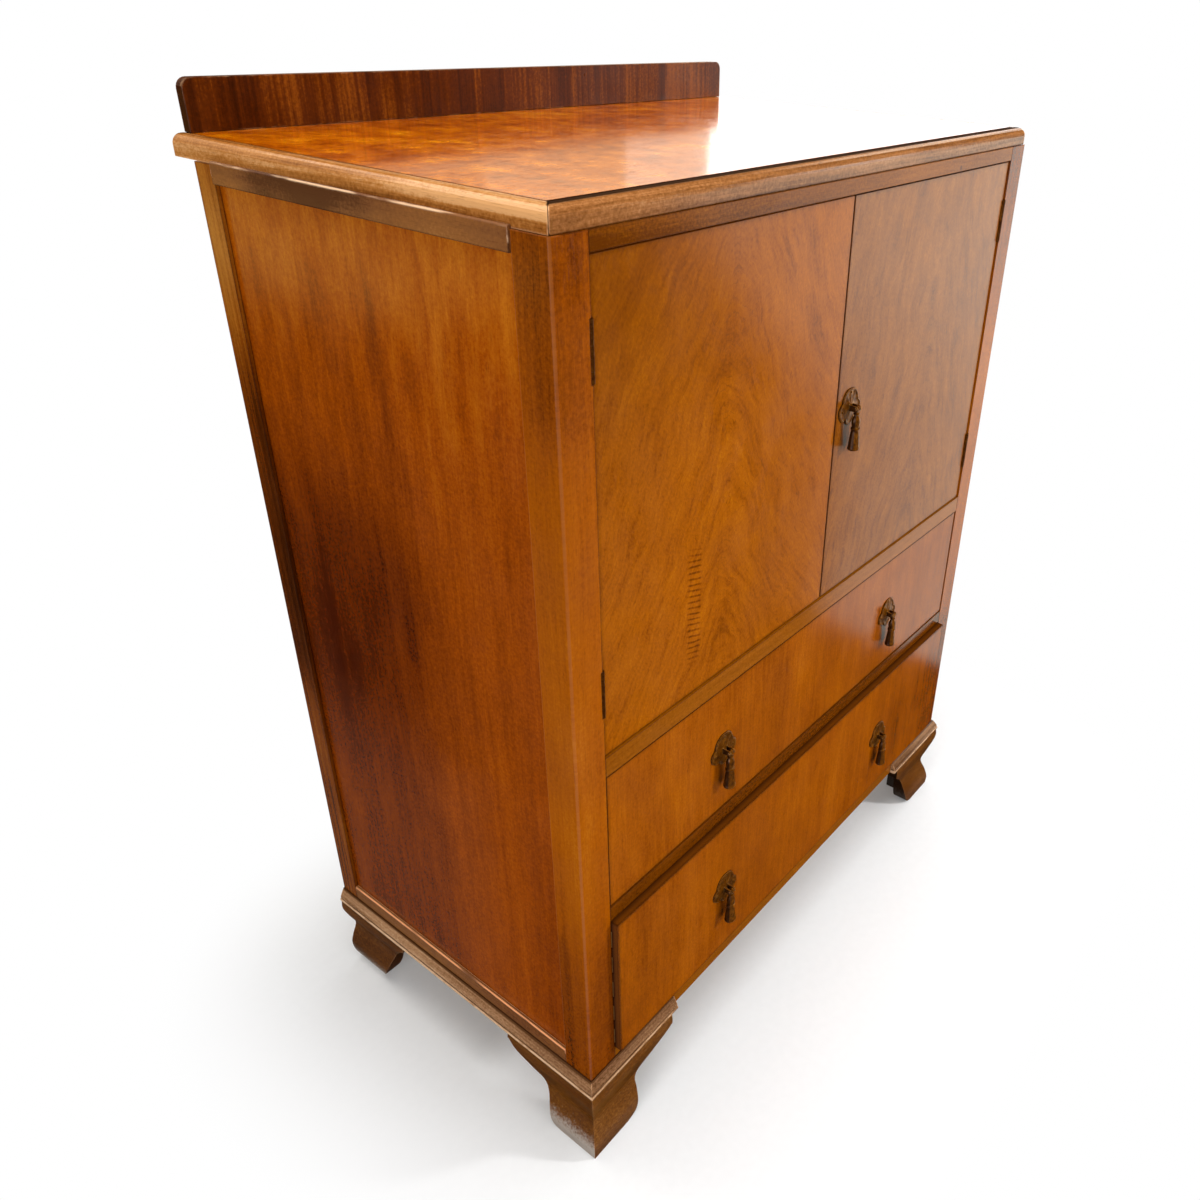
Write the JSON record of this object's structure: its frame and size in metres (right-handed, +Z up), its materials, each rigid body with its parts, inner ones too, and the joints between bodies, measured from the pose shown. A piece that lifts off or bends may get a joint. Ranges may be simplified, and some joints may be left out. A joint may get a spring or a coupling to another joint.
{
  "type": "cupboard chest",
  "caption": "Walnut cupboard chest with a pair of hinged doors over two long drawers, brass drop handles, a back gallery and ogee bracket feet.",
  "frame": {"origin": "middle of the ground that the chest covers, on the floor", "axes": "+Z up, the doors and drawers face -Y, +X to the right of someone facing the chest's front"},
  "size_m": [0.856, 0.5171, 1.126],
  "materials": {
    "top_veneer": "walnut veneer, orange gold, polished",
    "door_veneer": "figured walnut veneer, golden brown, polished",
    "drawer_veneer": "walnut veneer, orange brown, polished",
    "side_veneer": "straight-grained walnut veneer, reddish brown, polished",
    "frame_wood": "stained hardwood, orange brown, polished",
    "moulding_wood": "stained hardwood moulding, mid brown, polished and worn",
    "gallery_wood": "stained hardwood, dark brown, polished",
    "foot_wood": "stained hardwood, dark brown, polished",
    "inner_wood": "plain pale wood, unpolished",
    "plywood": "thin plywood, unpolished",
    "antique_brass": "cast brass, antique dark, worn bright on the ridges",
    "hinge_brass": "pressed brass, dull"
  },
  "bodies": {
    "carcass": {"back_panel": "plywood", "bottom_board": "inner_wood", "bottom_rail": "frame_wood", "cupboard_floor": "inner_wood", "cupboard_shelf": "inner_wood", "drawer_rail": "frame_wood", "dust_board": "inner_wood", "frieze_rail": "frame_wood", "gallery": "gallery_wood", "left_front_foot": "foot_wood", "left_front_post": "frame_wood", "left_lower_hinge_frame_leaf": "hinge_brass", "left_plinth_moulding": "moulding_wood", "left_rear_foot": "foot_wood", "left_rear_post": "frame_wood", "left_side_bottom_rail": "frame_wood", "left_side_panel": "side_veneer", "left_side_top_rail": "frame_wood", "left_upper_hinge_frame_leaf": "hinge_brass", "middle_rail": "frame_wood", "right_front_foot": "foot_wood", "right_front_post": "frame_wood", "right_lower_hinge_frame_leaf": "hinge_brass", "right_plinth_moulding": "moulding_wood", "right_rear_foot": "foot_wood", "right_rear_post": "frame_wood", "right_side_bottom_rail": "frame_wood", "right_side_panel": "side_veneer", "right_side_top_rail": "frame_wood", "right_upper_hinge_frame_leaf": "hinge_brass", "top_board": "top_veneer", "top_moulding_front": "moulding_wood", "top_moulding_left": "moulding_wood", "top_moulding_right": "moulding_wood"},
    "left_door": {"left_door": "door_veneer", "left_lower_hinge_door_leaf": "hinge_brass", "left_upper_hinge_door_leaf": "hinge_brass"},
    "right_door": {"door_handle_plate": "antique_brass", "right_door": "door_veneer", "right_lower_hinge_door_leaf": "hinge_brass", "right_upper_hinge_door_leaf": "hinge_brass"},
    "upper_drawer": {"upper_drawer_back": "inner_wood", "upper_drawer_bottom": "plywood", "upper_drawer_front": "drawer_veneer", "upper_drawer_left_handle_plate": "antique_brass", "upper_drawer_left_side": "inner_wood", "upper_drawer_right_handle_plate": "antique_brass", "upper_drawer_right_side": "inner_wood"},
    "lower_drawer": {"lower_drawer_back": "inner_wood", "lower_drawer_bottom": "plywood", "lower_drawer_front": "drawer_veneer", "lower_drawer_left_handle_plate": "antique_brass", "lower_drawer_left_side": "inner_wood", "lower_drawer_right_handle_plate": "antique_brass", "lower_drawer_right_side": "inner_wood"},
    "door_handle_drop": {"door_handle_drop": "antique_brass"},
    "lower_drawer_left_handle_drop": {"lower_drawer_left_handle_drop": "antique_brass"},
    "lower_drawer_right_handle_drop": {"lower_drawer_right_handle_drop": "antique_brass"},
    "upper_drawer_left_handle_drop": {"upper_drawer_left_handle_drop": "antique_brass"},
    "upper_drawer_right_handle_drop": {"upper_drawer_right_handle_drop": "antique_brass"}
  },
  "joints": [
    {"name": "left_door_hinge", "type": "hinge", "parent": "carcass", "child": "left_door", "pos_m": [-0.3794, -0.23186, 0.5755], "axis": [0, 0, -1], "range_deg": [0, 110]},
    {"name": "right_door_hinge", "type": "hinge", "parent": "carcass", "child": "right_door", "pos_m": [0.3794, -0.23186, 0.5755], "axis": [0, 0, 1], "range_deg": [0, 110]},
    {"name": "upper_drawer_slide", "type": "slide", "parent": "carcass", "child": "upper_drawer", "axis": [0, -1, 0], "range_m": [0, 0.3]},
    {"name": "lower_drawer_slide", "type": "slide", "parent": "carcass", "child": "lower_drawer", "axis": [0, -1, 0], "range_m": [0, 0.3]},
    {"name": "door_handle_swing", "type": "hinge", "parent": "right_door", "child": "door_handle_drop", "pos_m": [0.0275, -0.24186, 0.81315], "axis": [-1, 0, 0], "range_deg": [0, 80]},
    {"name": "lower_drawer_left_handle_swing", "type": "hinge", "parent": "lower_drawer", "child": "lower_drawer_left_handle_drop", "pos_m": [-0.189, -0.25286, 0.255], "axis": [-1, 0, 0], "range_deg": [0, 80]},
    {"name": "lower_drawer_right_handle_swing", "type": "hinge", "parent": "lower_drawer", "child": "lower_drawer_right_handle_drop", "pos_m": [0.189, -0.25286, 0.255], "axis": [-1, 0, 0], "range_deg": [0, 80]},
    {"name": "upper_drawer_left_handle_swing", "type": "hinge", "parent": "upper_drawer", "child": "upper_drawer_left_handle_drop", "pos_m": [-0.189, -0.24286, 0.4655], "axis": [-1, 0, 0], "range_deg": [0, 80]},
    {"name": "upper_drawer_right_handle_swing", "type": "hinge", "parent": "upper_drawer", "child": "upper_drawer_right_handle_drop", "pos_m": [0.189, -0.24286, 0.4655], "axis": [-1, 0, 0], "range_deg": [0, 80]}
  ]
}
